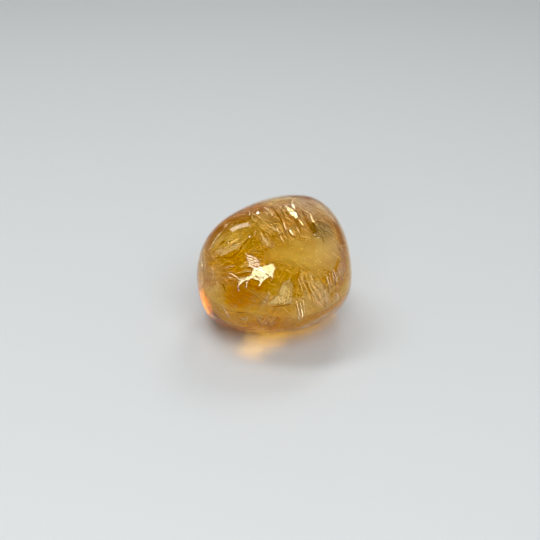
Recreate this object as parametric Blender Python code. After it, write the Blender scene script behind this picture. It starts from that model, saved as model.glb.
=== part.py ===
# A tumbled stone: one clear golden pebble, a broken crystal lump worn round and polished.
# Metres, +Z up. It stands on its small flat, with the middle of its box over the origin.

import math

import bmesh
import bpy
from mathutils import Vector

MM = 0.001

# The faces of the broken lump, each worn down to a soft round. A face is given by the way it
# looks and by how far it lies from the stone's core:
# name: (bearing in degrees, 0 to the front and 90 to the right; degrees above level; distance)
WORN_FACES = {
    "front": (-6, 8, 13.9 * MM),
    "front_right": (45, 12, 15.6 * MM),
    "right": (97, 5, 15.5 * MM),
    "back_right": (140, -10, 15.0 * MM),
    "back": (184, -4, 14.4 * MM),
    "back_left": (228, -4, 14.6 * MM),
    "left": (276, -8, 15.0 * MM),
    "front_left": (316, 10, 14.5 * MM),
    "front_top": (8, 44, 14.8 * MM),
    "upper_right": (104, 40, 19.4 * MM),
    "back_top": (186, 42, 17.6 * MM),
    "left_shoulder": (250, 26, 14.4 * MM),
    "left_slope": (226, 52, 14.3 * MM),
    "crown": (110, 66, 20.0 * MM),
    "top": (90, 84, 15.5 * MM),
    "front_under": (354, -50, 11.6 * MM),
    "lower_right": (50, -42, 13.3 * MM),
    "lower_left": (302, -38, 15.6 * MM),
    "back_under": (190, -42, 12.2 * MM),
    "base": (0, -90, 11.4 * MM),
}
ROUNDING = 6.5  # higher keeps the faces flatter and the corners between them tighter
REST_DEPTH = 10.5 * MM  # from the core down to the small flat that the stone rests on
SUBDIVISIONS = 5  # of the icosphere that the surface starts from

STONE_COLOUR = (0.45, 0.23, 0.04, 1.0)
STONE_ROUGHNESS = 0.06
STONE_IOR = 1.55


def outward(bearing, tilt):
    """The unit vector that points the way a face looks."""
    around = math.radians(bearing)
    above = math.radians(tilt)
    level = math.cos(above)
    return Vector((math.sin(around) * level, -math.cos(around) * level, math.sin(above)))


def worn_planes():
    return [(outward(bearing, tilt), distance) for bearing, tilt, distance in WORN_FACES.values()]


def radius_towards(direction, planes):
    """How far the surface lies from the core. The faces that look this way are blended, as
    tumbling does it, so that no edge between them stays sharp."""
    total = 0.0
    for normal, distance in planes:
        total += max(0.0, direction.dot(normal) / distance) ** ROUNDING
    return total ** (-1 / ROUNDING)


def cut_rest_flat(bm):
    """The small flat under the stone."""
    cut = bmesh.ops.bisect_plane(
        bm,
        geom=bm.verts[:] + bm.edges[:] + bm.faces[:],
        plane_co=(0, 0, -REST_DEPTH),
        plane_no=(0, 0, -1),
        clear_outer=True,
    )
    rim = [item for item in cut["geom_cut"] if isinstance(item, bmesh.types.BMEdge)]
    bmesh.ops.edgeloop_fill(bm, edges=rim)
    bmesh.ops.recalc_face_normals(bm, faces=bm.faces)


def stand_on_origin(bm):
    """Puts the middle of the box over the origin, and the flat on the ground."""
    xs = [vert.co.x for vert in bm.verts]
    ys = [vert.co.y for vert in bm.verts]
    middle = Vector(((min(xs) + max(xs)) / 2, (min(ys) + max(ys)) / 2, -REST_DEPTH))
    bmesh.ops.translate(bm, verts=bm.verts, vec=-middle)


def stone_mesh():
    planes = worn_planes()
    bm = bmesh.new()
    bmesh.ops.create_icosphere(bm, subdivisions=SUBDIVISIONS, radius=1.0)
    for vert in bm.verts:
        direction = vert.co.normalized()
        vert.co = direction * radius_towards(direction, planes)
    cut_rest_flat(bm)
    stand_on_origin(bm)
    mesh = bpy.data.meshes.new("tumbled_stone")
    bm.to_mesh(mesh)
    bm.free()
    mesh.shade_smooth()
    mesh.set_sharp_from_angle(angle=math.radians(30))
    return mesh


def stone_material():
    """Clear golden quartz, polished."""
    material = bpy.data.materials.new("golden_quartz")
    material.use_nodes = True
    shader = material.node_tree.nodes["Principled BSDF"]
    shader.inputs["Base Color"].default_value = STONE_COLOUR
    shader.inputs["Roughness"].default_value = STONE_ROUGHNESS
    shader.inputs["Metallic"].default_value = 0.0
    shader.inputs["IOR"].default_value = STONE_IOR
    shader.inputs["Transmission Weight"].default_value = 1.0
    return material


def clear_scene():
    for obj in list(bpy.data.objects):
        bpy.data.objects.remove(obj, do_unlink=True)


def main():
    clear_scene()
    collection = bpy.data.collections.new("Tumbled Stone")
    bpy.context.scene.collection.children.link(collection)
    stone = bpy.data.objects.new("tumbled_stone", stone_mesh())
    stone.data.materials.append(stone_material())
    collection.objects.link(stone)


main()
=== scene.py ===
# Tumbled stone: one clear golden pebble of quartz, with the healed cracks and stains inside it.

import math

import bmesh
import bpy
import numpy as np
from mathutils import Matrix, Vector, geometry, noise
from mathutils.bvhtree import BVHTree


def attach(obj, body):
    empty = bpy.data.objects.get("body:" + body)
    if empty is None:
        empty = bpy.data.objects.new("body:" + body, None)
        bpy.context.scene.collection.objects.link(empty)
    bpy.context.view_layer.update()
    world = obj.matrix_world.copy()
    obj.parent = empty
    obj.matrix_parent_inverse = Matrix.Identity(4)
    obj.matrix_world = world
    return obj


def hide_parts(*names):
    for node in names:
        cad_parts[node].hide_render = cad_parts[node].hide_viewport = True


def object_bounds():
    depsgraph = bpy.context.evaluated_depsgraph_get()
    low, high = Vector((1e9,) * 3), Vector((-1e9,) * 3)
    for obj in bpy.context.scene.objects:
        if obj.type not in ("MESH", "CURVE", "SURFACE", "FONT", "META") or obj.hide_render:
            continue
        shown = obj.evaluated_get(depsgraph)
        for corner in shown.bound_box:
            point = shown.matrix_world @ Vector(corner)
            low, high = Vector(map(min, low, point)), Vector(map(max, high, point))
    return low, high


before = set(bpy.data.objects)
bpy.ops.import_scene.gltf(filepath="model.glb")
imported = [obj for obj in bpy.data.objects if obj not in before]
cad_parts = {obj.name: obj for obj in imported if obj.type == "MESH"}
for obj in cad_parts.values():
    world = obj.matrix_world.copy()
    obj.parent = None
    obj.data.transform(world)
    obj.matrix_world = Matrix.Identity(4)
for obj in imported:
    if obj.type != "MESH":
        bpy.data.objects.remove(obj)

mm = 0.001
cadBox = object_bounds()


def report(stage):
    print("tumbled stone:", stage)


def addObject(name, mesh, material=None):
    piece = bpy.data.objects.new(name, mesh)
    bpy.context.scene.collection.objects.link(piece)
    if material:
        mesh.materials.append(material)
    return piece


def addNode(tree, kind, settings=(), **values):
    node = tree.nodes.new(kind)
    for name, value in dict(settings).items():
        setattr(node, name, value)
    for name, value in values.items():
        node.inputs[name.replace("_", " ")].default_value = value
    return node


smoothStep = {"interpolation_type": "SMOOTHSTEP"}

# the stone's own skin

stoneForm = {
    # the faces of the broken lump, each worn to a soft round: bearing in degrees, 0 to the front
    # and 90 to the right; degrees above level; distance from the core
    "wornFaces": {
        "front": (-6, 8, 13.9 * mm),
        "frontRight": (45, 12, 15.6 * mm),
        "right": (97, 5, 15.5 * mm),
        "backRight": (140, -10, 15.0 * mm),
        "back": (184, -4, 14.4 * mm),
        "backLeft": (228, -4, 14.6 * mm),
        "left": (276, -8, 15.0 * mm),
        "frontLeft": (316, 10, 14.5 * mm),
        "frontTop": (8, 44, 14.8 * mm),
        "upperRight": (104, 40, 19.4 * mm),
        "backTop": (186, 42, 17.6 * mm),
        "leftShoulder": (250, 26, 14.4 * mm),
        "leftSlope": (226, 52, 14.3 * mm),
        "crown": (110, 66, 20.0 * mm),
        "top": (90, 84, 15.5 * mm),
        "frontUnder": (354, -50, 11.6 * mm),
        "lowerRight": (50, -42, 13.3 * mm),
        "lowerLeft": (302, -38, 15.6 * mm),
        "backUnder": (190, -42, 12.2 * mm),
        "base": (0, -90, 11.4 * mm),
    },
    "rounding": 6.5,          # higher keeps the faces flatter
    "restDepth": 10.5 * mm,   # from the core down to the rest flat
    "restRim": 0.08 * mm,     # how softly the flat runs into the sides
    "subdivisions": 7,
    "inset": 0.02 * mm,       # keeps the skin inside the solid's box
    # the polish follows the stone unevenly: how deep and how long its waves are, how high above the
    # floor they start, and how much finer and weaker the second waves are
    "waveDepth": 0.035 * mm, "waveLength": 3.5 * mm, "waveAbove": 0.5 * mm, "waveDetail": (2.7, 0.5),
}


def outward(bearing, tilt):
    around, above = math.radians(bearing), math.radians(tilt)
    level = math.cos(above)
    return Vector((math.sin(around) * level, -math.cos(around) * level, math.sin(above)))


def wornRadii(directions):
    faces = stoneForm["wornFaces"].values()
    normals = np.array([outward(bearing, tilt) for bearing, tilt, distance in faces])
    distances = np.array([distance for bearing, tilt, distance in faces])
    facing = np.clip(directions @ normals.T / distances, 0, None)
    return (facing ** stoneForm["rounding"]).sum(axis=1) ** (-1 / stoneForm["rounding"])


def restFlat(heights):
    # a smooth maximum, so the flat has a worn rim
    above = heights + stoneForm["restDepth"]
    return (above + np.sqrt(above ** 2 + stoneForm["restRim"] ** 2)) / 2


def fitToFrame(points):
    low, high = np.array(cadBox[0]) + stoneForm["inset"], np.array(cadBox[1]) - stoneForm["inset"]
    low[2] = cadBox[0][2]
    ownLow, ownHigh = points.min(axis=0), points.max(axis=0)
    return low + (points - ownLow) * (high - low) / (ownHigh - ownLow)


def stoneMesh(name):
    bm = bmesh.new()
    bmesh.ops.create_icosphere(bm, subdivisions=stoneForm["subdivisions"], radius=1.0)
    mesh = bpy.data.meshes.new(name)
    bm.to_mesh(mesh)
    bm.free()
    points = np.empty(len(mesh.vertices) * 3)
    mesh.vertices.foreach_get("co", points)
    directions = points.reshape(-1, 3)
    directions /= np.linalg.norm(directions, axis=1)[:, None]
    points = directions * wornRadii(directions)[:, None]
    points[:, 2] = restFlat(points[:, 2])
    mesh.vertices.foreach_set("co", fitToFrame(points).ravel())
    mesh.update()
    waved = []
    finer, weaker = stoneForm["waveDetail"]
    for point, normal in [(vert.co.copy(), vert.normal.copy()) for vert in mesh.vertices]:
        if point.z > stoneForm["waveAbove"]:
            place = point / stoneForm["waveLength"]
            wave = noise.noise(place) + weaker * noise.noise(place * finer)
            point -= normal * stoneForm["waveDepth"] * (0.5 + wave / 2)
        waved.extend(point)
    mesh.vertices.foreach_set("co", waved)
    mesh.update()
    mesh.shade_smooth()
    return mesh


clearQuartz = {
    "ior": 1.55,
    "roughness": 0.0,
    "absorption": (0.013, 0.042, 0.178),   # of red, green and blue, in one millimetre
    "bendRounds": 4,   # to find the way to a light through the skin
}


def quartzMaterial():
    material = bpy.data.materials.new("golden_quartz")
    material.use_nodes = True
    tree = material.node_tree
    shader = tree.nodes["Principled BSDF"]
    shader.inputs["Base Color"].default_value = (1, 1, 1, 1)
    shader.inputs["Roughness"].default_value = clearQuartz["roughness"]
    shader.inputs["IOR"].default_value = clearQuartz["ior"]
    shader.inputs["Transmission Weight"].default_value = 1.0
    volume = tree.nodes.new("ShaderNodeVolumeAbsorption")
    strongest = max(clearQuartz["absorption"]) / mm
    volume.inputs["Density"].default_value = strongest
    kept = [1 - each / mm / strongest for each in clearQuartz["absorption"]]
    volume.inputs["Color"].default_value = kept + [1]
    tree.links.new(volume.outputs["Volume"], tree.nodes["Material Output"].inputs["Volume"])
    return material


stone = addObject("stone_skin", stoneMesh("stone_skin"), quartzMaterial())
report("skin made")

# the camera, and how it sees a point inside the stone

photoCamera = {
    "elevation": 30,
    "distance": 168 * mm,
    "lens": 60,
    "sensor": 36,
    "framePixels": 540,
    "nearest": 5 * mm,
    "stonePixel": (274.2, 264.3),   # where the middle of the stone's box stands in the photo
    "edgeSlide": 0.02,   # how far a pixel just past the edge slides to it, in one go
}
pixelsPerRadian = photoCamera["framePixels"] * photoCamera["lens"] / photoCamera["sensor"]
cameraTilt = math.radians(photoCamera["elevation"])
cameraRight = Vector((1, 0, 0))
cameraUp = Vector((0, math.sin(cameraTilt), math.cos(cameraTilt)))
cameraBack = Vector((0, -math.cos(cameraTilt), math.sin(cameraTilt)))
frameMiddle = photoCamera["framePixels"] / 2
boxMiddle = (Vector(cadBox[0]) + Vector(cadBox[1])) / 2


def cameraPlace():
    perPixel = photoCamera["distance"] / pixelsPerRadian
    across = photoCamera["stonePixel"][0] - frameMiddle
    down = photoCamera["stonePixel"][1] - frameMiddle
    aside = (cameraUp * down - cameraRight * across) * perPixel
    return boxMiddle + cameraBack * photoCamera["distance"] + aside


def makeCamera():
    data = bpy.data.cameras.new("photo_camera")
    data.lens, data.sensor_width = photoCamera["lens"], photoCamera["sensor"]
    data.clip_start = photoCamera["nearest"]
    camera = bpy.data.objects.new("photo_camera", data)
    camera.location = cameraPlace()
    camera.rotation_euler = (math.radians(90 - photoCamera["elevation"]), 0, 0)
    bpy.context.scene.collection.objects.link(camera)
    bpy.context.scene.camera = camera


makeCamera()
skinTree = BVHTree.FromPolygons(
    [vert.co for vert in stone.data.vertices], [face.vertices for face in stone.data.polygons]
)


def bent(direction, normal, ratio):
    # a ray's direction after it crosses the skin
    cosine = -direction.dot(normal)
    rest = 1 - ratio ** 2 * (1 - cosine ** 2)
    return (direction * ratio + normal * (ratio * cosine - math.sqrt(max(rest, 0)))).normalized()


def insideRay(pixel):
    # where the camera's ray through this pixel of the photo enters the stone, and where it then goes
    across, up = (pixel[0] - frameMiddle) / pixelsPerRadian, (frameMiddle - pixel[1]) / pixelsPerRadian
    direction = (cameraRight * across + cameraUp * up - cameraBack).normalized()
    entry, normal, _, _ = skinTree.ray_cast(cameraPlace(), direction)
    if entry is None:   # just past the edge
        middle, slide = photoCamera["stonePixel"], photoCamera["edgeSlide"]
        return insideRay([own + (end - own) * slide for own, end in zip(pixel, middle)])
    return entry, bent(direction, normal, 1 / clearQuartz["ior"])


def towardsLight(point, direction):
    # the way from a point inside to a far light, which the skin bends
    way = direction
    for _ in range(clearQuartz["bendRounds"]):
        _, normal, _, _ = skinTree.ray_cast(point, way)
        way = -bent(-direction, normal, 1 / clearQuartz["ior"])
    return way


# the studio

studio = {
    "floorSize": 1.6,
    "floorGap": 0.03 * mm,   # under the stone, so that its flat and the floor don't share a plane
    # the floor's colour holds painted shade: lighter near and darker far along a turned line, standing in for
    # light that falls off away from the lamps
    "floorNear": (0.655, 0.69, 0.705),
    "floorFar": (0.53, 0.565, 0.585),
    "floorPaintedShade": (-70 * mm, 290 * mm),   # where the floor is lightest and where darkest: painted shade
    "floorPaintedShadeTurn": 40,
    "floorRoughness": 0.5,
    # the room's light straight above, level behind and level in front
    "skyAbove": (0.32, 0.32, 0.32),
    "skyBehind": (0.48, 0.43, 0.37),
    "skyInFront": (0.16, 0.16, 0.16),
    "skyFromFront": (-0.95, -0.2),   # along Y, from all in front to all behind
    "skyFromLevel": (0.2, 0.9),      # along Z, from all level to all above
    # direction from the stone, distance, width, height, bearing of the width to the right, brightness
    # against white, how many strips it is cut into, and whether the polish mirrors it
    "lights": {
        "overheadPanel": (Vector((-0.33, 0.13, 0.93)), 0.54, 0.29, 0.13, 14, 6.5, 1, True),
        "frontBoard": (Vector((-0.27, -0.87, 0.41)), 0.50, 0.11, 0.13, 0, 12.0, 5, True),
        "frontFill": (Vector((0.20, -0.62, 0.76)), 0.60, 0.44, 0.36, 0, 3.9, 1, False),
        "backFill": (Vector((0.22, 0.56, 0.80)), 0.60, 0.18, 0.15, 0, 7.0, 1, False),
    },
    "stripShare": 0.5,   # of a strip's room that is lit
    "blackLevel": 0.034,
    "lightPaths": {
        "max_bounces": 24, "transmission_bounces": 24, "glossy_bounces": 24, "diffuse_bounces": 8,
        "transparent_max_bounces": 64,
        # the light that the stone gathers on the floor is neither blurred nor clipped
        "blur_glossy": 0, "sample_clamp_indirect": 0,
    },
}


def makeFloor():
    bpy.ops.mesh.primitive_plane_add(size=studio["floorSize"])
    floor = bpy.context.object
    floor.name = "floor"
    floor.data.transform(Matrix.Translation((0, 0, -studio["floorGap"])))
    material = bpy.data.materials.new("pale_board")
    material.use_nodes = True
    tree = material.node_tree
    shader = tree.nodes["Principled BSDF"]
    shader.inputs["Roughness"].default_value = studio["floorRoughness"]
    # painted shade: the board's colour darkens from its near side to its far side
    place = addNode(tree, "ShaderNodeTexCoord")
    turn = math.radians(studio["floorPaintedShadeTurn"])
    turned = addNode(tree, "ShaderNodeMapping", Rotation=(0, 0, turn))
    split = addNode(tree, "ShaderNodeSeparateXYZ")
    near, far = studio["floorPaintedShade"]
    fade = addNode(tree, "ShaderNodeMapRange", From_Min=near, From_Max=far)
    tone = addNode(tree, "ShaderNodeMix", {"data_type": "RGBA"})
    tone.inputs["A"].default_value = (*studio["floorNear"], 1)
    tone.inputs["B"].default_value = (*studio["floorFar"], 1)
    tree.links.new(place.outputs["Object"], turned.inputs["Vector"])
    tree.links.new(turned.outputs["Vector"], split.inputs["Vector"])
    tree.links.new(split.outputs["Y"], fade.inputs["Value"])
    tree.links.new(fade.outputs["Result"], tone.inputs["Factor"])
    tree.links.new(tone.outputs["Result"], shader.inputs["Base Color"])
    floor.data.materials.append(material)


def makeWorld():
    world = bpy.data.worlds.new("pale_room")
    bpy.context.scene.world = world
    world.use_nodes = True
    tree = world.node_tree
    link = tree.links.new
    direction = addNode(tree, "ShaderNodeTexCoord")
    split = addNode(tree, "ShaderNodeSeparateXYZ")
    start, full = studio["skyFromFront"]
    behind = addNode(tree, "ShaderNodeMapRange", smoothStep, From_Min=start, From_Max=full)
    start, full = studio["skyFromLevel"]
    above = addNode(tree, "ShaderNodeMapRange", smoothStep, From_Min=start, From_Max=full)
    level = addNode(tree, "ShaderNodeMix", {"data_type": "RGBA"})
    level.inputs["A"].default_value = (*studio["skyInFront"], 1)
    level.inputs["B"].default_value = (*studio["skyBehind"], 1)
    whole = addNode(tree, "ShaderNodeMix", {"data_type": "RGBA"})
    whole.inputs["B"].default_value = (*studio["skyAbove"], 1)
    link(direction.outputs["Generated"], split.inputs["Vector"])
    link(split.outputs["Y"], behind.inputs["Value"])
    link(split.outputs["Z"], above.inputs["Value"])
    link(behind.outputs["Result"], level.inputs["Factor"])
    link(above.outputs["Result"], whole.inputs["Factor"])
    link(level.outputs["Result"], whole.inputs["A"])
    link(whole.outputs["Result"], tree.nodes["Background"].inputs["Color"])


def makeLights():
    for name, light in studio["lights"].items():
        direction, distance, width, height, turn, brightness, strips, mirrored = light
        towards = direction.normalized()
        level = Vector((math.cos(math.radians(turn)), math.sin(math.radians(turn)), 0))
        across = towards.cross(level).normalized()
        turned = Matrix((across.cross(towards), across, towards)).transposed()
        room = height / strips
        for strip in range(strips):
            data = bpy.data.lights.new(f"{name}_{strip}", "AREA")
            data.shape = "RECTANGLE"
            data.size = width
            data.size_y = room * (studio["stripShare"] if strips > 1 else 1)
            data.energy = brightness * math.pi * data.size * data.size_y
            lamp = bpy.data.objects.new(f"{name}_{strip}", data)
            aside = turned @ Vector((0, (strip + 0.5) * room - height / 2, 0))
            lamp.location = towards * distance + aside
            lamp.rotation_euler = turned.to_euler()
            lamp.visible_glossy = mirrored
            bpy.context.scene.collection.objects.link(lamp)


makeFloor()
makeWorld()
makeLights()
view = bpy.context.scene.view_settings
view.view_transform = "Standard"
view.use_curve_mapping = True
view.curve_mapping.black_level = [studio["blackLevel"]] * 3
view.curve_mapping.update()
for name, value in studio["lightPaths"].items():
    setattr(bpy.context.scene.cycles, name, value)
report("studio made")

# films: the healed cracks, clouds and stains inside the stone, each a thin sheet at a given depth under
# the skin. Those that the photo shows start from an outline in it, in pixels.

filmForm = {
    "step": 0.4,         # mm between the points of a film
    "thickness": 0.03,   # mm
    "underSkin": 0.35,   # mm that a film keeps to the skin
    "ellipsePoints": 24,
    "rowStep": 0.87,     # of a step, between the rows of points
    "rimRoom": 0.45,     # of a step, that the points inside keep to the rim
    "patchEdge": 2.5,    # higher gives the patches of a film a sharper edge
    "rumple": 0.3,       # mm
    "rumpleScale": 0.25,
    "rumpleSeed": 3.7,         # from one film to the next
    "patternSeed": (7.3, 3.1),
    "frayStart": 0.6,    # of the fray, where a film starts to show
    "bumpDepth": 0.15,   # mm
}


def ellipse(middle, size, turn):
    turn = math.radians(turn)
    points = []
    for step in range(filmForm["ellipsePoints"]):
        angle = 2 * math.pi * step / filmForm["ellipsePoints"]
        u, v = math.cos(angle) * size[0] / 2, math.sin(angle) * size[1] / 2
        points.append((
            middle[0] + u * math.cos(turn) - v * math.sin(turn),
            middle[1] - u * math.sin(turn) - v * math.cos(turn),
        ))
    return points


def mirrorFacing(point, viewWay, lightName):
    # the way a crack faces to mirror this light to the eye
    return (towardsLight(point, studio["lights"][lightName][0].normalized()) - viewWay).normalized()


class FilmPlane:
    # the plane that a film starts from, with its own two axes, and the film's outline on it in mm
    def __init__(self, film):
        turn = math.radians(film.get("turn", 0))
        if "under" in film:
            # under a place on the skin, leaning from it
            normal = outward(*film["under"])
            skin, normal, _, _ = skinTree.ray_cast(boxMiddle, normal)
            self.anchor = skin - normal * film["depth"] * mm
            level = Vector((0, 0, 1)).cross(normal).normalized()
            self.along = level * math.cos(turn) + normal.cross(level) * math.sin(turn)
            lean = math.radians(film["lean"])
            self.facing = normal * math.cos(lean) + normal.cross(self.along) * math.sin(lean)
            self.across = self.facing.cross(self.along)
            self.outline = np.array(ellipse((0, 0), film["size"], 0))
            return
        photo = film.get("outline") or ellipse(film["middle"], film["size"], film["turn"])
        entry, way = insideRay(np.mean(photo, axis=0))
        self.anchor = entry + way * film["depth"] * mm
        facing = film["facing"]
        if isinstance(facing, str):
            self.facing = mirrorFacing(self.anchor, way, facing)
        else:
            self.facing = outward(*facing)
        wanted = cameraRight * math.cos(turn) + cameraUp * math.sin(turn)
        self.along = (wanted - self.facing * wanted.dot(self.facing)).normalized()
        self.across = self.facing.cross(self.along)
        self.outline = np.array([self.fromPixel(pixel) for pixel in photo])

    def fromPixel(self, pixel):
        entry, way = insideRay(pixel)
        reach = (self.anchor - entry).dot(self.facing) / way.dot(self.facing)
        place = entry + way * reach - self.anchor
        return np.array((place.dot(self.along) / mm, place.dot(self.across) / mm))

    def toSpace(self, x, y, rise):
        return self.anchor + (self.along * x + self.across * y + self.facing * rise) * mm


def distanceToOutline(points, outline):
    # the distance of each point to the nearest edge, and whether it is inside
    nearest = np.full(len(points), np.inf)
    inside = np.zeros(len(points), bool)
    for start, end in zip(outline, np.roll(outline, -1, axis=0)):
        edge = end - start
        share = np.clip(((points - start) @ edge) / max(edge @ edge, 1e-12), 0, 1)
        gap = np.linalg.norm(points - start - share[:, None] * edge, axis=1)
        nearest = np.minimum(nearest, gap)
        crosses = (start[1] > points[:, 1]) != (end[1] > points[:, 1])
        height = np.where(crosses, points[:, 1] - start[1], 0)
        inside ^= crosses & (points[:, 0] < start[0] + height * edge[0] / (edge[1] or 1e-12))
    return nearest, inside


def filmPoints(outline, step):
    # points along the outline, then a grid of them inside it
    rim = []
    for start, end in zip(outline, np.roll(outline, -1, axis=0)):
        count = max(1, math.ceil(np.linalg.norm(end - start) / step))
        rim += [start + (end - start) * each / count for each in range(count)]
    low, high = outline.min(axis=0), outline.max(axis=0)
    columns, rows = (int(each) + 1 for each in (high - low) / step)
    rowStep = filmForm["rowStep"]
    grid = np.array([
        low + np.array((column + 0.5 * (row % 2), row * rowStep)) * step
        for column in range(columns) for row in range(int(rows / rowStep) + 1)
    ])
    nearest, inside = distanceToOutline(grid, outline)
    return np.array(rim), grid[inside & (nearest > step * filmForm["rimRoom"])]


def patchDensity(points, plane, film):
    # how dense the film is at each point, from its soft patches
    density = np.full(len(points), film.get("between", 0.0 if "patches" in film else 1.0))
    for middle, size, turn, strength in film.get("patches", []):
        centre = plane.fromPixel(middle)
        turn = math.radians(turn)
        ends = [
            (middle[0] + size[0] / 2 * math.cos(turn), middle[1] - size[0] / 2 * math.sin(turn)),
            (middle[0] - size[1] / 2 * math.sin(turn), middle[1] - size[1] / 2 * math.cos(turn)),
        ]
        axes = np.column_stack([plane.fromPixel(end) - centre for end in ends])
        shares = np.linalg.solve(axes, (points - centre).T)
        density = np.maximum(density, strength * np.exp(-(np.hypot(*shares) ** filmForm["patchEdge"])))
    return density


def keptInside(point):
    # moves a point that is outside, or too near to the skin, to the least depth under it
    nearest, normal, _, distance = skinTree.find_nearest(point)
    depth = distance if (nearest - point).dot(normal) > 0 else -distance
    if depth > filmForm["underSkin"] * mm:
        return point
    return nearest - normal * filmForm["underSkin"] * mm


def addFilm(bm, film, seed):
    plane = FilmPlane(film)
    outline = plane.outline
    rim, grid = filmPoints(outline, film.get("step", filmForm["step"]))
    points = [Vector(point) for point in np.vstack([rim, grid])]
    edges = [(index, (index + 1) % len(rim)) for index in range(len(rim))]
    points, _, triangles, *_ = geometry.delaunay_2d_cdt(points, edges, [], 1, 1e-5)
    flat = np.array(points)
    toRim, _ = distanceToOutline(flat, outline)
    density = patchDensity(flat, plane, film)
    reach = np.abs(outline).max()
    rumple, bow = film.get("rumple", filmForm["rumple"]), film.get("bow", 0)
    uvLayer, grainLayer = bm.loops.layers.uv["along"], bm.verts.layers.float_vector["grain"]
    rimLayer, denseLayer = (bm.verts.layers.float[name] for name in ("rim", "dense"))
    verts = []
    for point, rimDistance, dense in zip(points, toRim, density):
        place = Vector((point.x, point.y, seed * filmForm["rumpleSeed"])) * filmForm["rumpleScale"]
        rise = rumple * noise.noise(place) - bow * point.length_squared / reach ** 2
        vert = bm.verts.new(keptInside(plane.toSpace(point.x, point.y, rise)))
        vert[rimLayer] = rimDistance + film.get("sharp", 0)
        vert[denseLayer], vert[grainLayer] = dense, plane.along
        verts.append(vert)
    aside, up = filmForm["patternSeed"]
    for triangle in triangles:
        face = bm.faces.new([verts[index] for index in triangle])
        for loop, index in zip(face.loops, triangle):
            loop[uvLayer].uv = (points[index].x + seed * aside, points[index].y + seed * up)


def filmMaterial(name, look):
    material = bpy.data.materials.new(name)
    material.use_nodes = True
    tree = material.node_tree
    link = tree.links.new
    shader = tree.nodes["Principled BSDF"]
    shader.inputs["Metallic"].default_value = look["metallic"]
    shader.inputs["Roughness"].default_value = look["roughness"]

    along = addNode(tree, "ShaderNodeUVMap", {"uv_map": "along"})
    length, width = look["streak"]
    mapping = addNode(tree, "ShaderNodeMapping", Scale=(1 / length, 1 / width, 1))
    pattern = addNode(tree, "ShaderNodeTexNoise", Scale=1.0, Detail=6, Roughness=0.6, Distortion=0.7)
    start, full, least = look["ramp"]
    strength = addNode(tree, "ShaderNodeMapRange", smoothStep, From_Min=start, From_Max=full, To_Min=least)
    link(along.outputs["UV"], mapping.inputs["Vector"])
    link(mapping.outputs["Vector"], pattern.inputs["Vector"])
    link(pattern.outputs["Fac"], strength.inputs["Value"])

    # the film fades over its last bit, which the pattern frays
    soft, frayed = look["rim"]
    rim = addNode(tree, "ShaderNodeAttribute", {"attribute_name": "rim"})
    fray = addNode(tree, "ShaderNodeMath", {"operation": "MULTIPLY_ADD"})
    fray.inputs[1].default_value = frayed
    start = frayed * filmForm["frayStart"]
    edge = addNode(tree, "ShaderNodeMapRange", smoothStep, From_Min=start, From_Max=start + soft)
    link(pattern.outputs["Fac"], fray.inputs[0])
    link(rim.outputs["Fac"], fray.inputs[2])
    link(fray.outputs["Value"], edge.inputs["Value"])

    dense = addNode(tree, "ShaderNodeAttribute", {"attribute_name": "dense"})
    inPatch = addNode(tree, "ShaderNodeMath", {"operation": "MULTIPLY"})
    there = addNode(tree, "ShaderNodeMath", {"operation": "MULTIPLY"})
    cover = addNode(tree, "ShaderNodeMath", {"operation": "MULTIPLY"})
    cover.inputs[1].default_value = look["hides"]
    link(strength.outputs["Result"], inPatch.inputs[0])
    link(dense.outputs["Fac"], inPatch.inputs[1])
    link(inPatch.outputs["Value"], there.inputs[0])
    link(edge.outputs["Result"], there.inputs[1])
    link(there.outputs["Value"], cover.inputs[0])

    # light crosses two faces of each film, so each face takes the root of the tint
    passed = addNode(tree, "ShaderNodeMix", {"data_type": "RGBA"})
    passed.inputs["A"].default_value = (1, 1, 1, 1)
    passed.inputs["B"].default_value = (*(math.sqrt(each) for each in look["filter"]), 1)
    through = addNode(tree, "ShaderNodeBsdfTransparent")
    own = addNode(tree, "ShaderNodeMix", {"data_type": "RGBA"})
    own.inputs["A"].default_value, own.inputs["B"].default_value = [(*colour, 1) for colour in look["body"]]
    mixed = addNode(tree, "ShaderNodeMixShader")
    link(there.outputs["Value"], passed.inputs["Factor"])
    link(passed.outputs["Result"], through.inputs["Color"])
    if look["fringe"]:
        inner = addNode(tree, "ShaderNodeMapRange", smoothStep, From_Max=look["fringe"])
        link(fray.outputs["Value"], inner.inputs["Value"])
        link(inner.outputs["Result"], own.inputs["Factor"])
    else:
        link(pattern.outputs["Fac"], own.inputs["Factor"])
    link(own.outputs["Result"], shader.inputs["Base Color"])
    link(cover.outputs["Value"], mixed.inputs["Fac"])
    link(through.outputs["BSDF"], mixed.inputs[1])
    link(shader.outputs["BSDF"], mixed.inputs[2])
    link(mixed.outputs["Shader"], tree.nodes["Material Output"].inputs["Surface"])
    if look["bump"]:
        bump = addNode(tree, "ShaderNodeBump", Strength=look["bump"], Distance=filmForm["bumpDepth"] * mm)
        link(pattern.outputs["Fac"], bump.inputs["Height"])
        link(bump.outputs["Normal"], shader.inputs["Normal"])
    return material


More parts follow.
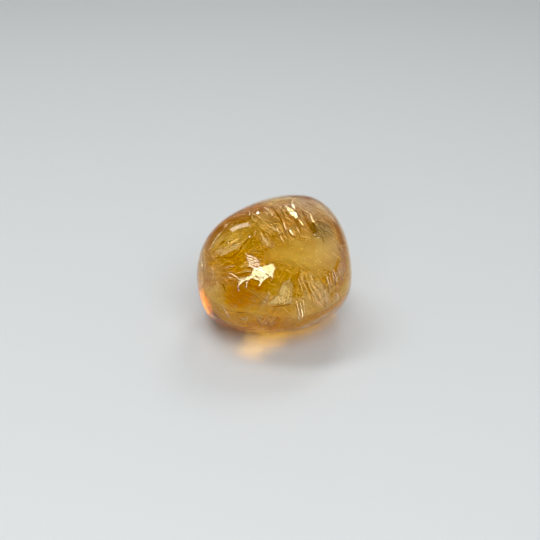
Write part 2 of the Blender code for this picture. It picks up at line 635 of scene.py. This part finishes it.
# films on the sides and the back, which the photo hides: bearing, tilt, length and width in mm, turn,
# depth in mm, and how far they lean from the skin
hiddenFilms = {
    "haze_veils": [
        (180, 10, 16, 10, 20, 3.0, 20), (130, 30, 12, 9, -30, 3.0, -25), (230, 20, 12, 8, 40, 3.0, 25),
        (180, 60, 10, 8, 0, 3.0, 20), (95, -5, 12, 8, 60, 3.0, -20), (268, 0, 12, 9, -50, 3.0, 20),
        (200, -25, 12, 7, 0, 2.5, 15), (150, -20, 10, 7, 30, 2.5, 20),
    ],
    "amber_stains": [(150, 15, 7, 5, 30, 3.0, 0), (225, -10, 8, 5, 0, 3.0, 10), (95, -20, 6, 4, 0, 2.5, 0)],
    "pale_veils": [
        (190, 20, 6, 2.5, -30, 1.5, 20), (125, 0, 5, 2, 60, 1.5, -15), (255, 30, 5, 2, -50, 1.5, 15),
        (165, 40, 5, 2.5, 20, 1.5, 10),
    ],
    "golden_feathers": [
        (170, 25, 9, 4, -50, 2.0, 20), (205, 5, 8, 3, 30, 2.0, -20), (140, 5, 9, 4, 60, 2.0, 15),
        (240, 25, 8, 3.5, -40, 1.8, 20), (110, 20, 7, 3, -70, 1.8, -20), (265, -10, 7, 3, 50, 1.8, 20),
        (190, 45, 9, 4, -30, 2.0, 10), (82, -10, 7, 3, 70, 1.5, 20), (284, 15, 6, 3, -60, 1.5, -15),
        (64, -25, 6, 3, 40, 1.5, 20), (180, -15, 8, 3, 10, 1.8, 20), (215, -20, 7, 3, 70, 1.8, -15),
        (155, 60, 8, 3, 40, 1.8, 15),
    ],
    "crackle": [
        (155, -5, 8, 5, 20, 1.8, 20), (215, 30, 8, 5, -40, 1.8, -20), (250, 0, 6, 4, 0, 1.5, 15),
        (100, 35, 6, 4, 40, 1.5, 20), (180, -35, 8, 4, 0, 1.5, 10), (195, 15, 7, 5, 60, 2.5, -25),
    ],
    "bright_flakes": [
        (175, 8, 2.2, 0.6, -50, 1.2, 5), (186, 22, 1.6, 0.4, -60, 1.0, 10), (200, 30, 2.0, 0.5, -40, 1.2, -5),
        (150, 20, 1.8, 0.4, 50, 1.2, 5), (225, 12, 2.0, 0.5, 30, 1.2, -10), (120, 10, 1.6, 0.4, 70, 1.0, 0),
        (252, 15, 1.8, 0.5, -30, 1.0, 5), (210, -5, 1.4, 0.4, 20, 1.0, 0),
    ],
}


def makeFilms(name, look):
    bm = bmesh.new()
    bm.loops.layers.uv.new("along")
    bm.verts.layers.float.new("rim")
    bm.verts.layers.float.new("dense")
    bm.verts.layers.float_vector.new("grain")
    hidden = [
        {"under": (bearing, tilt), "size": (length, width), "turn": turn, "depth": depth, "lean": lean}
        for bearing, tilt, length, width, turn, depth, lean in hiddenFilms.get(name, [])
    ]
    for index, film in enumerate(look["films"] + hidden):
        addFilm(bm, film, index + len(name))
    mesh = bpy.data.meshes.new(name)
    bm.to_mesh(mesh)
    bm.free()
    mesh.shade_smooth()
    piece = addObject(name, mesh, filmMaterial(name, look))
    piece.modifiers.new("thickness", "SOLIDIFY").thickness = filmForm["thickness"] * mm
    report(f"{name}: {len(mesh.polygons)} faces")
    return piece


def ovalFilms(rows, **options):
    # x, y, length and width in pixels, turn in degrees, depth in mm, and the way that it faces
    return [
        {"middle": (x, y), "size": (length, width), "turn": turn, "depth": depth, "facing": facing, **options}
        for x, y, length, width, turn, depth, facing in rows
    ]


pieces = []

# Looks of a film. filter: what is left of the light that goes through it. body: its own two colours.
# hides: how much of what is behind it covers. fringe: how far the first colour reaches in from the rim,
# in mm, where it is 0 the pattern mixes the two. streak: length and width of the pattern in mm. ramp: where
# the pattern starts and is full, and the least of it. rim: how soft and how frayed the edge is, in mm.
# Each film has an outline, or a middle, a size and a turn, in pixels and degrees; its depth, bow and rumple
# in mm; the way it faces, or the light that it mirrors; and its patches: middle, size, turn, strength.
# between is the strength outside the patches, and sharp, in mm, keeps the rim from fading.

wholeStone = [
    (200, 262), (212, 238), (232, 218), (262, 206), (290, 200), (314, 204), (330, 220), (342, 244),
    (347, 270), (340, 298), (322, 314), (292, 326), (262, 328), (232, 322), (212, 306), (202, 284),
]
hazeVeils = {
    "filter": (1.0, 0.99, 0.95), "body": ((1.0, 0.99, 0.94), (1.0, 0.96, 0.86)), "hides": 0.5, "fringe": 0,
    "streak": (5, 3.5), "ramp": (0.25, 0.7, 0.45), "rim": (2.5, 1.0),
    "metallic": 0.0, "roughness": 0.8, "bump": 0.0,
    "films": [
        {
            "outline": wholeStone, "depth": 5, "facing": (-4, 34), "turn": -30, "bow": 2.5, "between": 0.1,
            "patches": [
                ((311, 256), (84, 50), -8, 1.0), ((222, 238), (50, 40), 30, 0.85),
                ((286, 220), (90, 40), -20, 0.75), ((280, 291), (34, 34), 60, 0.75),
                ((312, 298), (48, 56), 0, 0.6), ((213, 276), (26, 60), 0, 0.4),
                ((300, 322), (70, 20), 15, 0.5),
            ],
        },
        {
            "outline": wholeStone, "depth": 9, "facing": (-14, 26), "turn": 40, "bow": 2.0, "between": 0.1,
            "patches": [
                ((308, 250), (90, 60), 10, 1.0), ((226, 240), (50, 40), 30, 0.7),
                ((280, 222), (100, 40), -20, 0.7), ((300, 296), (60, 50), 0, 0.6),
                ((215, 300), (30, 50), 0, 0.3),
            ],
        },
        {
            "outline": wholeStone, "depth": 13, "facing": (16, 30), "turn": 0, "bow": 2.0, "between": 0.2,
            "patches": [
                ((300, 240), (110, 60), 0, 0.9), ((230, 250), (60, 50), 30, 0.6),
                ((310, 300), (60, 50), 0, 0.6),
            ],
        },
    ],
}
pieces.append(makeFilms("haze_veils", hazeVeils))

amberStains = {
    "filter": (0.93, 0.75, 0.04), "body": ((0.7, 0.35, 0.02), (0.7, 0.4, 0.05)), "hides": 0.0, "fringe": 0,
    "streak": (3, 1.2), "ramp": (0.2, 0.6, 0.3), "rim": (1.6, 1.0),
    "metallic": 0.0, "roughness": 0.7, "bump": 0.0,
    "films": [
        {   # low on the left
            "outline": [
                (220, 284), (230, 277), (248, 283), (258, 281), (276, 280), (272, 292), (264, 304),
                (258, 316), (240, 318), (224, 312), (221, 300),
            ],
            "depth": 6, "facing": (-8, 12), "turn": -10, "bow": 0.8,
        },
        {   # at the right edge
            "outline": [
                (339, 254), (348, 255), (349, 270), (346, 284), (337, 291), (327, 292), (321, 282),
                (325, 268), (333, 264),
            ],
            "depth": 1.8, "facing": (45, 5), "turn": 70, "bow": 0.5,
        },
        {   # under the sharp veil
            "outline": [(264, 306), (293, 304), (297, 316), (290, 330), (266, 330), (256, 318)],
            "depth": 5, "facing": (0, -5), "turn": 0, "bow": 0.5,
        },
        *ovalFilms([
            (264, 256, 30, 20, 10, 6, (0, 25)), (208, 264, 24, 14, 10, 2.5, (-45, 10)),
            (250, 325, 76, 13, 6, 1.2, (-4, -20)), (338, 288, 40, 12, 66, 1.2, (50, 0)),
            (238, 296, 36, 30, 0, 2.5, (-8, 12)),
        ], bow=0.5),
    ],
}
pieces.append(makeFilms("amber_stains", amberStains))

smokySpot = {
    "filter": (0.62, 0.62, 0.55), "body": ((0.20, 0.18, 0.09), (0.35, 0.30, 0.15)),
    "hides": 0.45, "fringe": 0,
    "streak": (1.5, 1.2), "ramp": (0.25, 0.6, 0.2), "rim": (0.8, 1.0),
    "metallic": 0.0, "roughness": 0.7, "bump": 0.0,
    "films": [
        {
            "outline": [
                (309, 221), (316, 221), (322, 219), (331, 223), (334, 233), (330, 246), (320, 244),
                (312, 238), (308, 229),
            ],
            "depth": 3, "facing": (30, 35), "turn": -20,
        },
        *ovalFilms([
            (325, 242, 14, 7, 30, 3.5, (30, 30)), (316, 222, 14, 3, 5, 2.8, (30, 35)),
        ]),
    ],
}
pieces.append(makeFilms("smoky_spot", smokySpot))

paleVeils = {
    "filter": (0.95, 0.93, 0.85), "body": ((1.0, 0.97, 0.85), (1.0, 0.90, 0.64)), "hides": 0.5, "fringe": 0,
    "streak": (2.0, 0.6), "ramp": (0.25, 0.8, 0.2), "rim": (0.9, 1.2),
    "metallic": 0.7, "roughness": 0.45, "bump": 0.0,
    "films": [
        {   # the cream wedge
            "outline": [
                (212, 256), (216, 250), (226, 246), (236, 243), (243, 242), (240, 248), (232, 253),
                (222, 257),
            ],
            "depth": 1.6, "facing": "overheadPanel", "turn": 14, "sharp": 0.5,
        },
        {   # the pale patch with a sharp lower edge
            "outline": [
                (264, 305), (270, 300), (278, 294), (281, 282), (288, 279), (294, 284), (293, 294),
                (293, 304),
            ],
            "depth": 2, "facing": "frontBoard", "turn": 60, "rumple": 0.1, "sharp": 0.9,
        },
        *ovalFilms([
            (283, 290, 14, 8, 60, 1.5, "frontBoard"), (336, 296, 12, 8, -50, 1.2, "frontBoard"),
        ], sharp=0.5),
        *ovalFilms([
            (244, 214, 26, 9, 20, 1.5, (-20, 45)), (307, 203, 34, 12, -22, 0.8, (40, 50)),
            (288, 199, 40, 5, 4, 1.2, "overheadPanel"), (265, 240, 22, 12, -50, 1.6, "overheadPanel"),
            (324, 211, 44, 9, -42, 1.0, "overheadPanel"), (217, 288, 30, 6, 80, 1.5, "frontBoard"),
            (274, 229, 12, 6, 10, 1.5, "overheadPanel"), (226, 226, 10, 7, 40, 1.0, "overheadPanel"),
            (321, 292, 30, 18, -60, 1.6, "frontBoard"), (320, 318, 52, 7, 26, 0.8, "frontBoard"),
            (341, 250, 9, 6, 80, 0.8, "overheadPanel"),
        ]),
    ],
}
pieces.append(makeFilms("pale_veils", paleVeils))

goldenFeathers = {
    "filter": (1.0, 0.95, 0.8), "body": ((1.0, 0.90, 0.65), (0.95, 0.75, 0.40)), "hides": 0.8, "fringe": 0,
    "streak": (3.0, 0.2), "ramp": (0.53, 0.6, 0), "rim": (0.3, 1.0),
    "metallic": 1.0, "roughness": 0.3, "bump": 1.0,
    "films": ovalFilms([
        (287, 230, 26, 16, -55, 2, "overheadPanel"), (278, 212, 46, 14, -42, 1.8, "overheadPanel"),
        (303, 208, 34, 12, -48, 1.8, "overheadPanel"), (318, 208, 26, 12, -55, 1.8, "overheadPanel"),
        (262, 224, 34, 10, -42, 2, "overheadPanel"), (311, 288, 40, 16, -63, 2, "frontBoard"),
        (336, 274, 26, 10, 65, 1.8, "frontBoard"), (268, 320, 26, 12, 50, 1.8, "frontBoard"),
        (244, 268, 28, 12, 20, 2.5, "frontBoard"), (235, 245, 22, 12, 30, 1.8, "overheadPanel"),
        (326, 300, 26, 12, -70, 1.8, "frontBoard"),
    ]),
}
pieces.append(makeFilms("golden_feathers", goldenFeathers))

crackle = {
    "filter": (0.95, 0.85, 0.60), "body": ((1.0, 0.92, 0.70), (0.95, 0.75, 0.45)), "hides": 0.6, "fringe": 0,
    "streak": (0.8, 0.5), "ramp": (0.56, 0.68, 0), "rim": (0.5, 1.0),
    "metallic": 1.0, "roughness": 0.35, "bump": 1.0,
    "films": ovalFilms([
        (228, 236, 34, 20, 30, 1.8, "overheadPanel"), (264, 214, 30, 14, -30, 1.5, "overheadPanel"),
        (262, 318, 40, 14, 10, 2, "frontBoard"), (330, 284, 24, 20, 60, 1.8, "frontBoard"),
        (300, 262, 50, 30, 10, 4, "frontBoard"),
    ]),
}
pieces.append(makeFilms("crackle", crackle))

brightFlakes = {
    "filter": (1.0, 0.85, 0.5), "body": ((1.0, 0.76, 0.36), (1.0, 1.0, 0.98)), "hides": 1.0, "fringe": 0.4,
    "streak": (0.7, 0.3), "ramp": (0.32, 0.38, 0), "rim": (0.06, 0.12),
    "metallic": 1.0, "roughness": 0.21, "bump": 0.2,
    "films": [
        {   # the ragged flame
            "outline": [
                (253.9, 267.8), (260.0, 266.6), (265.4, 264.9), (270.5, 263.4), (272.5, 261.8),
                (274.0, 266.0), (276.6, 268.4), (274.0, 270.1), (273.4, 276.4), (271.7, 281.4),
                (270.5, 281.8), (271.3, 277.6), (269.9, 276.0), (265.9, 279.0), (262.3, 281.6),
                (259.8, 286.4), (257.6, 286.2), (259.0, 282.2), (259.2, 279.6), (256.7, 280.1),
                (253.9, 279.6), (252.2, 278.0), (248.3, 280.4), (247.6, 283.2), (247.4, 287.2),
                (245.0, 287.4), (245.8, 283.3), (246.0, 279.8), (240.5, 283.9), (239.0, 286.0),
                (239.4, 290.8), (237.4, 290.6), (237.2, 286.2), (237.6, 282.2), (240.0, 280.4),
                (238.0, 279.6), (235.2, 277.0), (239.5, 277.2), (247.0, 276.2), (251.0, 273.6),
                (252.0, 270.1),
            ],
            "depth": 1.6, "facing": "overheadPanel", "turn": 20, "step": 0.15, "bow": 0.12, "rumple": 0.03,
            "sharp": 0.15,
        },
    ],
    # bright slivers: depth, turn and outline
    "slivers": [
        (2, -45, [
            (284.0, 204.8), (289.4, 207.0), (294.4, 210.4), (297.4, 214.4), (298.0, 218.4), (295.0, 218.8),
            (291.0, 215.2), (287.2, 210.8),
        ]),
        (2, -50, [
            (296.6, 217.8), (299.6, 219.8), (302.4, 223.0), (304.4, 226.2), (302.6, 225.8), (299.4, 222.2),
        ]),
        (2, -55, [
            (289.6, 200.6), (292.8, 202.8), (295.8, 206.8), (296.6, 209.6), (293.2, 209.2), (291.2, 205.4),
        ]),
        (2, -60, [
            (308.8, 211.8), (311.8, 214.8), (314.2, 219.2), (315.2, 222.0), (311.4, 222.0), (309.8, 217.6),
        ]),
        (2, -65, [
            (300.6, 216.8), (302.6, 216.6), (303.2, 220.2), (302.0, 220.6), (300.8, 218.4),
        ]),
        (2, -65, [
            (304.8, 223.0), (305.8, 224.0), (306.0, 226.4), (304.8, 225.6),
        ]),
        (1.2, -40, [
            (209.0, 311.4), (212.2, 313.4), (215.4, 315.6), (216.4, 317.8), (214.4, 317.4), (211.0, 314.4),
        ]),
    ],
    # thin bright cracks: from and to in the photo, and width, all in pixels
    "cracks": [
        (283, 221, 287, 233, 1.6), (288, 228, 294, 236, 2.2), (279, 233, 284, 243, 1.3),
        (276, 226, 281, 236, 1.0), (296, 226, 300, 234, 1.0), (270, 222, 276, 232, 0.9),
        (264, 207, 274, 216, 0.9), (300, 199, 307, 206, 0.9), (296, 300, 300, 318, 1.4),
        (300, 302, 303, 319, 1.8), (303, 299, 305, 314, 1.1), (298, 312, 299, 321, 1.2),
        (310, 273, 314, 285, 0.8), (314, 285, 318, 293, 0.8), (318, 292, 322, 308, 0.8),
        (308, 281, 314, 296, 0.8), (314, 296, 320, 307, 0.8), (306, 287, 306, 297, 1.0),
        (306, 233, 306, 240, 1.0), (255, 230, 255, 235, 1.0), (273, 241, 273, 247, 0.9),
        (226, 244, 230, 241, 1.2), (234, 246, 238, 243, 1.2), (240, 320, 248, 317, 1.2),
        (201, 257, 203, 272, 1.2), (204, 258, 206, 270, 0.9), (197, 277, 203, 284, 1.0),
        (333, 268, 338, 283, 0.8), (337, 266, 342, 280, 0.8), (329, 272, 332, 288, 0.8),
        (252, 212, 248, 216, 0.9), (315, 237, 320, 238, 1.0), (228, 272, 240, 279, 1.6),
        (225, 277, 233, 278, 1.3), (244, 272, 252, 271, 1.2), (262, 306, 270, 292, 1.4),
        (285, 283, 291, 280, 1.1), (341, 246, 342, 250, 1.4), (262, 326, 270, 318, 0.9),
        (268, 328, 276, 321, 0.8), (325, 270, 329, 286, 0.9), (331, 266, 335, 286, 0.9),
        (340, 268, 343, 281, 0.9), (327, 276, 331, 292, 0.8), (336, 280, 339, 290, 0.8),
        (298, 278, 303, 292, 0.8), (301, 276, 306, 288, 0.8), (313, 290, 317, 304, 0.8),
        (246, 264, 262, 259, 0.9), (224, 268, 236, 265, 0.9), (212, 266, 214, 280, 0.8),
        (222, 306, 230, 318, 0.9), (258, 322, 262, 314, 0.8), (290, 200, 300, 204, 0.8),
        (208, 252, 216, 238, 0.8), (214, 240, 222, 231, 0.8),
    ],
    # small bright specks: place in the photo and size, in pixels
    "specks": [
        (257.7, 213, 4.0), (250, 213, 1.9), (266, 213, 1.6), (269, 209.5, 1.8), (270, 217, 1.8),
        (249.7, 236.4, 3.6), (252.8, 251, 1.8), (257.8, 251.6, 1.6), (299, 201, 1.8), (280, 205, 1.4),
        (281, 200, 1.4), (314.3, 234.5, 2.4), (318, 233, 1.4), (220, 305, 2.0), (235.5, 306, 2.0),
        (229, 316, 2.6), (238, 321, 1.6), (215.5, 317, 2.4), (245, 318, 1.8), (294, 282, 1.4),
        (325, 305, 1.4), (274, 214, 1.4), (262, 217, 1.2), (246, 226, 1.2),
    ],
    "lowHalf": 258,       # the pixel row below which a crack mirrors the light in front
    "crackDepth": 1.3,    # mm
    "speckDepth": 0.9,    # mm
    "speckShape": 0.8,    # height of a speck against its length
    "speckTurn": 30,
}


def mirrored(y):
    return "overheadPanel" if y < brightFlakes["lowHalf"] else "frontBoard"


def alongLine(x, y, toX, toY, width):
    # the middle, the size and the turn of a narrow film along a line in the photo
    turn = math.degrees(math.atan2(y - toY, toX - x))
    return (x + toX) / 2, (y + toY) / 2, math.hypot(toX - x, toY - y), width, turn


narrowFilm = {"step": 0.2, "rumple": 0, "sharp": 1}
for depth, turn, outline in brightFlakes["slivers"]:
    brightFlakes["films"].append({
        "outline": outline, "depth": depth, "facing": "overheadPanel", "turn": turn,
        "step": 0.2, "rumple": 0, "sharp": 0.15,
    })
brightFlakes["films"] += ovalFilms([
    (*alongLine(*crack), brightFlakes["crackDepth"], mirrored(crack[1]))
    for crack in brightFlakes["cracks"]
], **narrowFilm)
brightFlakes["films"] += ovalFilms([
    (
        x, y, size, size * brightFlakes["speckShape"], brightFlakes["speckTurn"],
        brightFlakes["speckDepth"], mirrored(y),
    )
    for x, y, size in brightFlakes["specks"]
], **narrowFilm)
pieces.append(makeFilms("bright_flakes", brightFlakes))

# thin dark seams between the veils
darkSeams = {
    "filter": (0.85, 0.62, 0.25), "body": ((0.40, 0.20, 0.03), (0.55, 0.32, 0.08)),
    "hides": 0.35, "fringe": 0,
    "streak": (1.2, 0.3), "ramp": (0.3, 0.5, 0.3), "rim": (0.08, 0.1),
    "metallic": 0.0, "roughness": 0.5, "bump": 0.0,
    "films": [], "depth": 1.5, "facing": (0, 30),
    # from and to in the photo, and width, all in pixels
    "seams": [
        (249.5, 238, 242, 245, 1.0), (242, 245, 240, 250, 1.0), (240, 250, 231, 257, 1.1),
        (213, 258, 231, 257, 1.1), (316, 221, 323, 223, 1.6), (322, 236, 324, 243, 1.4),
        (311, 228, 319, 232, 1.0), (203, 284, 204, 287, 1.2), (271, 307, 292, 304.5, 1.0),
        (266, 273, 269, 276, 1.4), (255, 276, 258, 277, 1.2), (222, 282, 226, 292, 1.0),
        (258, 232, 266, 246, 0.9), (262, 230, 269, 243, 0.9), (326, 303, 325, 308, 1.2),
        (293, 284, 296, 288, 1.2), (300, 268, 296, 282, 0.8), (322, 276, 326, 290, 0.9),
        (334, 274, 336, 288, 0.9), (256, 317, 262, 328, 0.9), (266, 318, 270, 329, 0.8),
        (236, 312, 248, 313, 0.9), (206, 240, 212, 232, 0.9), (218, 246, 226, 240, 0.9),
    ],
    # A row of short seams near the crown. For the upper and the lower ends: the first place, how far
    # apart they are, how many heights they have, and the step between these.
    "crownCount": 12, "crownWidth": 0.8,
    "crownEnds": (((272, 206), 3.1, 3, 4), ((281, 221), 3.0, 4, 5)),
}
for each in range(darkSeams["crownCount"]):
    upper, lower = [
        (x + apart * each, y + each % heights * step)
        for (x, y), apart, heights, step in darkSeams["crownEnds"]
    ]
    darkSeams["seams"].append((*upper, *lower, darkSeams["crownWidth"]))
darkSeams["films"] += ovalFilms([
    (*alongLine(*seam), darkSeams["depth"], darkSeams["facing"]) for seam in darkSeams["seams"]
], **narrowFilm)
pieces.append(makeFilms("dark_seams", darkSeams))

# fine needles and specks, which Geometry Nodes strew along the films of the broken places

strewing = {
    # per square mm of film, length and radius in mm, how far they turn from the grain in degrees, seed
    "goldenNeedles": (1.1, 2.2, 0.045, 12, 5),
    "paleNeedles": (0.5, 2.4, 0.035, 16, 8),
    "specks": (0.5, 0, 0.10, 0, 11),
    "sizes": (0.3, 1.2),   # least and most, against the given size
}


def strewTree(name, material, needle):
    tree = bpy.data.node_groups.new(name, "GeometryNodeTree")
    make = tree.interface.new_socket
    make("Films", in_out="INPUT", socket_type="NodeSocketGeometry")
    for label in ("Per Square Metre", "Length", "Radius", "Turn"):
        make(label, in_out="INPUT", socket_type="NodeSocketFloat")
    make("Seed", in_out="INPUT", socket_type="NodeSocketInt")
    make("Strewn", in_out="OUTPUT", socket_type="NodeSocketGeometry")
    link = tree.links.new
    given = addNode(tree, "NodeGroupInput")
    result = addNode(tree, "NodeGroupOutput")
    points = addNode(tree, "GeometryNodeDistributePointsOnFaces")
    if needle:
        shape = addNode(tree, "GeometryNodeMeshCone", Vertices=4)
        link(given.outputs["Radius"], shape.inputs["Radius Bottom"])
        link(given.outputs["Length"], shape.inputs["Depth"])
    else:
        shape = addNode(tree, "GeometryNodeMeshIcoSphere", Subdivisions=2)
        link(given.outputs["Radius"], shape.inputs["Radius"])
    grain = addNode(tree, "GeometryNodeInputNamedAttribute", {"data_type": "FLOAT_VECTOR"}, Name="grain")
    aligned = addNode(tree, "FunctionNodeAlignRotationToVector", {"axis": "Z"})
    least = addNode(tree, "ShaderNodeVectorMath", {"operation": "SCALE"})
    least.inputs[0].default_value = (-1, -1, -1)
    most = addNode(tree, "ShaderNodeVectorMath", {"operation": "SCALE"})
    most.inputs[0].default_value = (1, 1, 1)
    tilt = addNode(tree, "FunctionNodeRandomValue", {"data_type": "FLOAT_VECTOR"})
    tiltTurn = addNode(tree, "FunctionNodeEulerToRotation")
    turned = addNode(tree, "FunctionNodeRotateRotation")
    size = addNode(tree, "FunctionNodeRandomValue", {"data_type": "FLOAT"})
    size.inputs[2].default_value, size.inputs[3].default_value = strewing["sizes"]
    placed = addNode(tree, "GeometryNodeInstanceOnPoints")
    real = addNode(tree, "GeometryNodeRealizeInstances")
    dressed = addNode(tree, "GeometryNodeSetMaterial", Material=material)
    for source, output, target, into in (
        (given, "Films", points, "Mesh"), (given, "Per Square Metre", points, "Density"),
        (given, "Seed", points, "Seed"), (grain, 0, aligned, "Vector"), (given, "Turn", least, "Scale"),
        (given, "Turn", most, "Scale"), (least, "Vector", tilt, 0), (most, "Vector", tilt, 1),
        (given, "Seed", tilt, "Seed"), (tilt, 0, tiltTurn, 0), (aligned, "Rotation", turned, "Rotation"),
        (tiltTurn, 0, turned, "Rotate By"), (given, "Seed", size, "Seed"),
        (points, "Points", placed, "Points"), (shape, "Mesh", placed, "Instance"),
        (turned, "Rotation", placed, "Rotation"), (size, 1, placed, "Scale"),
        (placed, "Instances", real, "Geometry"), (real, "Geometry", dressed, "Geometry"),
        (dressed, "Geometry", result, "Strewn"),
    ):
        link(source.outputs[output], target.inputs[into])
    return tree


def strewMaterial(name, colours, metallic, roughness):
    material = bpy.data.materials.new(name)
    material.use_nodes = True
    tree = material.node_tree
    shader = tree.nodes["Principled BSDF"]
    shader.inputs["Metallic"].default_value = metallic
    shader.inputs["Roughness"].default_value = roughness
    place = addNode(tree, "ShaderNodeTexCoord")
    pattern = addNode(tree, "ShaderNodeTexNoise", Scale=400.0, Detail=3)
    ramp = addNode(tree, "ShaderNodeMapRange", From_Min=0.35, From_Max=0.65)
    mix = addNode(tree, "ShaderNodeMix", {"data_type": "RGBA"})
    mix.inputs["A"].default_value, mix.inputs["B"].default_value = [(*colour, 1) for colour in colours]
    tree.links.new(place.outputs["Object"], pattern.inputs["Vector"])
    tree.links.new(pattern.outputs["Fac"], ramp.inputs["Value"])
    tree.links.new(ramp.outputs["Result"], mix.inputs["Factor"])
    tree.links.new(mix.outputs["Result"], shader.inputs["Base Color"])
    return material


def strew(name, films, material, perSquare, length, radius, turn, seed, needle=True):
    tree = strewTree(name, material, needle)
    carrier = addObject(name + "_carrier", films.data.copy())
    modifier = carrier.modifiers.new("strew", "NODES")
    modifier.node_group = tree
    values = {
        "Per Square Metre": perSquare / mm ** 2, "Length": length * mm, "Radius": radius * mm,
        "Turn": math.radians(turn), "Seed": seed,
    }
    for socket in tree.interface.items_tree:
        if socket.name in values:
            modifier[socket.identifier] = values[socket.name]
    graph = bpy.context.evaluated_depsgraph_get()
    mesh = bpy.data.meshes.new_from_object(carrier.evaluated_get(graph))
    bpy.data.objects.remove(carrier)
    for vert in mesh.vertices:
        vert.co = keptInside(vert.co)
    mesh.name = name
    report(f"{name}: {len(mesh.polygons)} faces")
    return addObject(name, mesh)


made = {piece.name: piece for piece in pieces}
gold = strewMaterial("gold_glint", ((1.0, 0.80, 0.45), (1.0, 0.93, 0.75)), 1.0, 0.25)
white = strewMaterial("white_glint", ((0.9, 0.85, 0.75), (1.0, 1.0, 0.95)), 0.0, 0.3)
pieces.append(strew("golden_needles", made["golden_feathers"], gold, *strewing["goldenNeedles"]))
pieces.append(strew("pale_needles", made["haze_veils"], white, *strewing["paleNeedles"]))
pieces.append(strew("specks", made["crackle"], white, *strewing["specks"], needle=False))

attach(stone, "root")
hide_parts("tumbled_stone")
for piece in pieces:
    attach(piece, "root")
